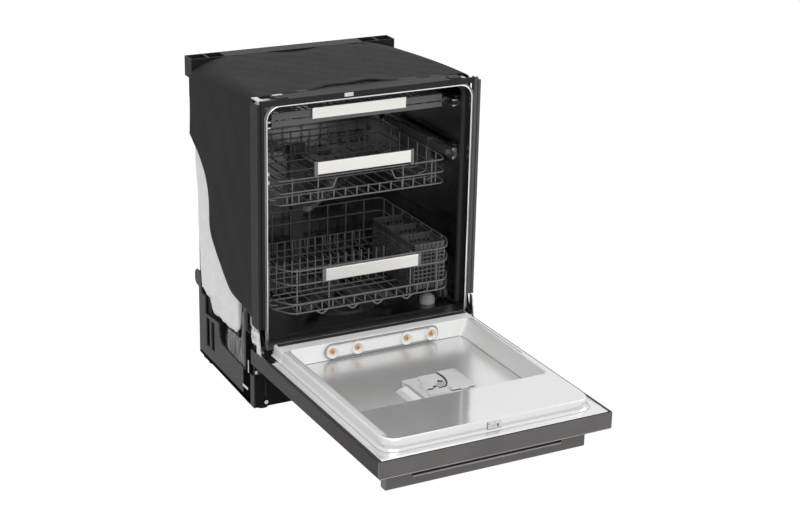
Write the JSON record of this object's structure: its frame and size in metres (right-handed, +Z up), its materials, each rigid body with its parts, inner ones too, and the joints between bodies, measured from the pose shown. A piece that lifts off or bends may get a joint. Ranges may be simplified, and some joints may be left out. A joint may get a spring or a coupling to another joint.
{
  "type": "built-in dishwasher",
  "caption": "Built-in dishwasher without its outer cabinet, door let down to show pull-out wire racks, spray arms, dispenser and steam nozzles.",
  "frame": {"origin": "middle of the footprint with the door open, on the floor", "axes": "+X to the right seen from the front, +Y to the back, +Z up"},
  "size_m": [0.603, 1.128, 0.82],
  "materials": {
    "tub": "brushed stainless, dark inside",
    "right_column": "satin dark grey",
    "left_column": "satin dark grey",
    "top_trim": "satin dark grey",
    "door_seal": "matt black",
    "counter_brackets": "zinc plated",
    "rear_beam": "moulded black",
    "insulation_mat": "matt black bitumen sheet",
    "insulation_felt": "white fleece",
    "fibre_pads": "grey needled fibre",
    "base_pan": "moulded black",
    "front_left_foot": "moulded black",
    "front_right_foot": "moulded black",
    "rear_feet": "moulded black",
    "toe_kick": "satin black",
    "toe_kick_screws": "zinc plated",
    "sump": "moulded grey",
    "filter_plate": "fine mesh",
    "filter_cup": "moulded grey",
    "wash_pump": "moulded black",
    "drain_pump": "moulded black",
    "inlet_valve": "moulded white",
    "junction_box": "grey",
    "float_cap": "moulded grey",
    "feed_pipe": "moulded grey",
    "lower_spray_arm": "moulded grey",
    "upper_feed_tube": "moulded grey",
    "upper_spray_arm": "moulded grey",
    "upper_rails": "stainless",
    "upper_slides": "stainless",
    "rack_lifts": "moulded grey",
    "upper_rack": "nylon coated grey wire",
    "upper_rack_handle": "satin silver",
    "third_rails": "stainless",
    "third_rack": "moulded grey",
    "third_rack_handle": "satin silver",
    "lower_rack": "nylon coated grey wire",
    "lower_rack_handle": "satin silver",
    "front_wheels": "moulded grey",
    "rear_wheels": "moulded grey",
    "cutlery_basket": "moulded grey",
    "door_panel": "brushed stainless",
    "control_strip": "satin dark grey",
    "control_board": "board housing",
    "door_liner": "brushed stainless",
    "door_handle": "brushed",
    "dispenser": "moulded light grey",
    "detergent_lid": "moulded light grey",
    "rinse_cap": "moulded grey",
    "steam_plate": "stainless",
    "steam_nozzles": "clear moulded",
    "latch_body": "moulded black",
    "latch_bolt": "zinc plated",
    "latch_keeper": "stainless",
    "hinge_brackets": "zinc plated",
    "hinge_pins": "zinc plated",
    "hinge_arms": "zinc plated",
    "hinge_springs": "spring steel",
    "front_tine_row": "nylon coated grey wire",
    "rear_tine_row": "nylon coated grey wire"
  },
  "bodies": {
    "cabinet": {"tub": "tub", "right_column": "right_column", "left_column": "left_column", "top_trim": "top_trim", "door_seal": "door_seal", "counter_brackets": "counter_brackets", "rear_beam": "rear_beam", "insulation_mat": "insulation_mat", "insulation_felt": "insulation_felt", "fibre_pads": "fibre_pads", "base_pan": "base_pan", "toe_kick": "toe_kick", "toe_kick_screws": "toe_kick_screws", "sump": "sump", "filter_plate": "filter_plate", "wash_pump": "wash_pump", "drain_pump": "drain_pump", "inlet_valve": "inlet_valve", "junction_box": "junction_box", "float_cap": "float_cap", "feed_pipe": "feed_pipe", "upper_rails": "upper_rails", "third_rails": "third_rails", "latch_body": "latch_body", "hinge_brackets": "hinge_brackets", "hinge_pins": "hinge_pins", "hinge_springs": "hinge_springs"},
    "door": {"door_panel": "door_panel", "control_strip": "control_strip", "control_board": "control_board", "door_liner": "door_liner", "door_handle": "door_handle", "dispenser": "dispenser", "steam_plate": "steam_plate", "steam_nozzles": "steam_nozzles", "latch_keeper": "latch_keeper", "hinge_arms": "hinge_arms"},
    "detergent_lid": {"detergent_lid": "detergent_lid"},
    "rinse_cap": {"rinse_cap": "rinse_cap"},
    "latch_bolt": {"latch_bolt": "latch_bolt"},
    "filter_cup": {"filter_cup": "filter_cup"},
    "lower_arm": {"lower_spray_arm": "lower_spray_arm"},
    "lower_rack": {"lower_rack": "lower_rack", "lower_rack_handle": "lower_rack_handle"},
    "front_wheels": {"front_wheels": "front_wheels"},
    "rear_wheels": {"rear_wheels": "rear_wheels"},
    "front_tines": {"front_tine_row": "front_tine_row"},
    "rear_tines": {"rear_tine_row": "rear_tine_row"},
    "basket": {"cutlery_basket": "cutlery_basket"},
    "upper_slides": {"upper_slides": "upper_slides"},
    "upper_carriage": {"rack_lifts": "rack_lifts"},
    "upper_rack": {"upper_rack": "upper_rack", "upper_rack_handle": "upper_rack_handle", "upper_feed_tube": "upper_feed_tube"},
    "upper_arm": {"upper_spray_arm": "upper_spray_arm"},
    "third_rack": {"third_rack": "third_rack", "third_rack_handle": "third_rack_handle"},
    "front_left_foot": {"front_left_foot": "front_left_foot"},
    "front_right_foot": {"front_right_foot": "front_right_foot"},
    "rear_feet": {"rear_feet": "rear_feet"}
  },
  "joints": [
    {"name": "door_hinge", "type": "hinge", "parent": "cabinet", "child": "door", "pos_m": [0, 0.082, 0.184], "axis": [-1, 0, 0], "range_deg": [0, 90]},
    {"name": "detergent_lid_slide", "type": "slide", "parent": "door", "child": "detergent_lid", "axis": [1, 0, 0], "range_m": [0, 0.06]},
    {"name": "rinse_cap_turn", "type": "hinge", "parent": "door", "child": "rinse_cap", "pos_m": [-0.013, -0.246, 0.177], "axis": [0, 0, 1], "range_deg": [0, 90]},
    {"name": "latch_bolt_drop", "type": "slide", "parent": "cabinet", "child": "latch_bolt", "axis": [0, 0, 1], "range_m": [-0.004, 0]},
    {"name": "filter_turn", "type": "hinge", "parent": "cabinet", "child": "filter_cup", "pos_m": [0, 0.212, 0.209], "axis": [0, 0, 1], "range_deg": [0, 45]},
    {"name": "lower_arm_spin", "type": "hinge", "parent": "cabinet", "child": "lower_arm", "pos_m": [0, 0.31, 0.236], "axis": [0, 0, 1], "continuous": true},
    {"name": "lower_rack_slide", "type": "slide", "parent": "cabinet", "child": "lower_rack", "axis": [0, 1, 0], "range_m": [-0.42, 0]},
    {"name": "front_wheels_roll", "type": "hinge", "parent": "lower_rack", "child": "front_wheels", "pos_m": [0, 0.162, 0.2266], "axis": [1, 0, 0], "continuous": true},
    {"name": "rear_wheels_roll", "type": "hinge", "parent": "lower_rack", "child": "rear_wheels", "pos_m": [0, 0.432, 0.2266], "axis": [1, 0, 0], "continuous": true},
    {"name": "front_tine_fold", "type": "hinge", "parent": "lower_rack", "child": "front_tines", "pos_m": [0, 0.206, 0.2763], "axis": [-1, 0, 0], "range_deg": [0, 75]},
    {"name": "rear_tine_fold", "type": "hinge", "parent": "lower_rack", "child": "rear_tines", "pos_m": [0, 0.344, 0.2763], "axis": [-1, 0, 0], "range_deg": [0, 75]},
    {"name": "basket_lift", "type": "slide", "parent": "lower_rack", "child": "basket", "axis": [0, 0, 1], "range_m": [0, 0.09]},
    {"name": "upper_slides_slide", "type": "slide", "parent": "cabinet", "child": "upper_slides", "axis": [0, 1, 0], "range_m": [-0.2, 0]},
    {"name": "upper_rack_slide", "type": "slide", "parent": "cabinet", "child": "upper_carriage", "axis": [0, 1, 0], "range_m": [-0.4, 0]},
    {"name": "upper_rack_height", "type": "slide", "parent": "upper_carriage", "child": "upper_rack", "axis": [0, 0, 1], "range_m": [-0.05, 0]},
    {"name": "upper_arm_spin", "type": "hinge", "parent": "upper_rack", "child": "upper_arm", "pos_m": [0, 0.31, 0.506], "axis": [0, 0, 1], "continuous": true},
    {"name": "third_rack_slide", "type": "slide", "parent": "cabinet", "child": "third_rack", "axis": [0, 1, 0], "range_m": [-0.36, 0]},
    {"name": "front_left_foot_screw", "type": "slide", "parent": "cabinet", "child": "front_left_foot", "axis": [0, 0, 1], "range_m": [-0.03, 0]},
    {"name": "front_right_foot_screw", "type": "slide", "parent": "cabinet", "child": "front_right_foot", "axis": [0, 0, 1], "range_m": [-0.03, 0]},
    {"name": "rear_feet_screw", "type": "slide", "parent": "cabinet", "child": "rear_feet", "axis": [0, 0, 1], "range_m": [-0.03, 0]}
  ],
  "couplings": [
    {"joint": "upper_slides_slide", "follows": "upper_rack_slide", "ratio": 0.5},
    {"joint": "front_wheels_roll", "follows": "lower_rack_slide", "rad_per_m": -61.35},
    {"joint": "rear_wheels_roll", "follows": "lower_rack_slide", "rad_per_m": -61.35}
  ]
}
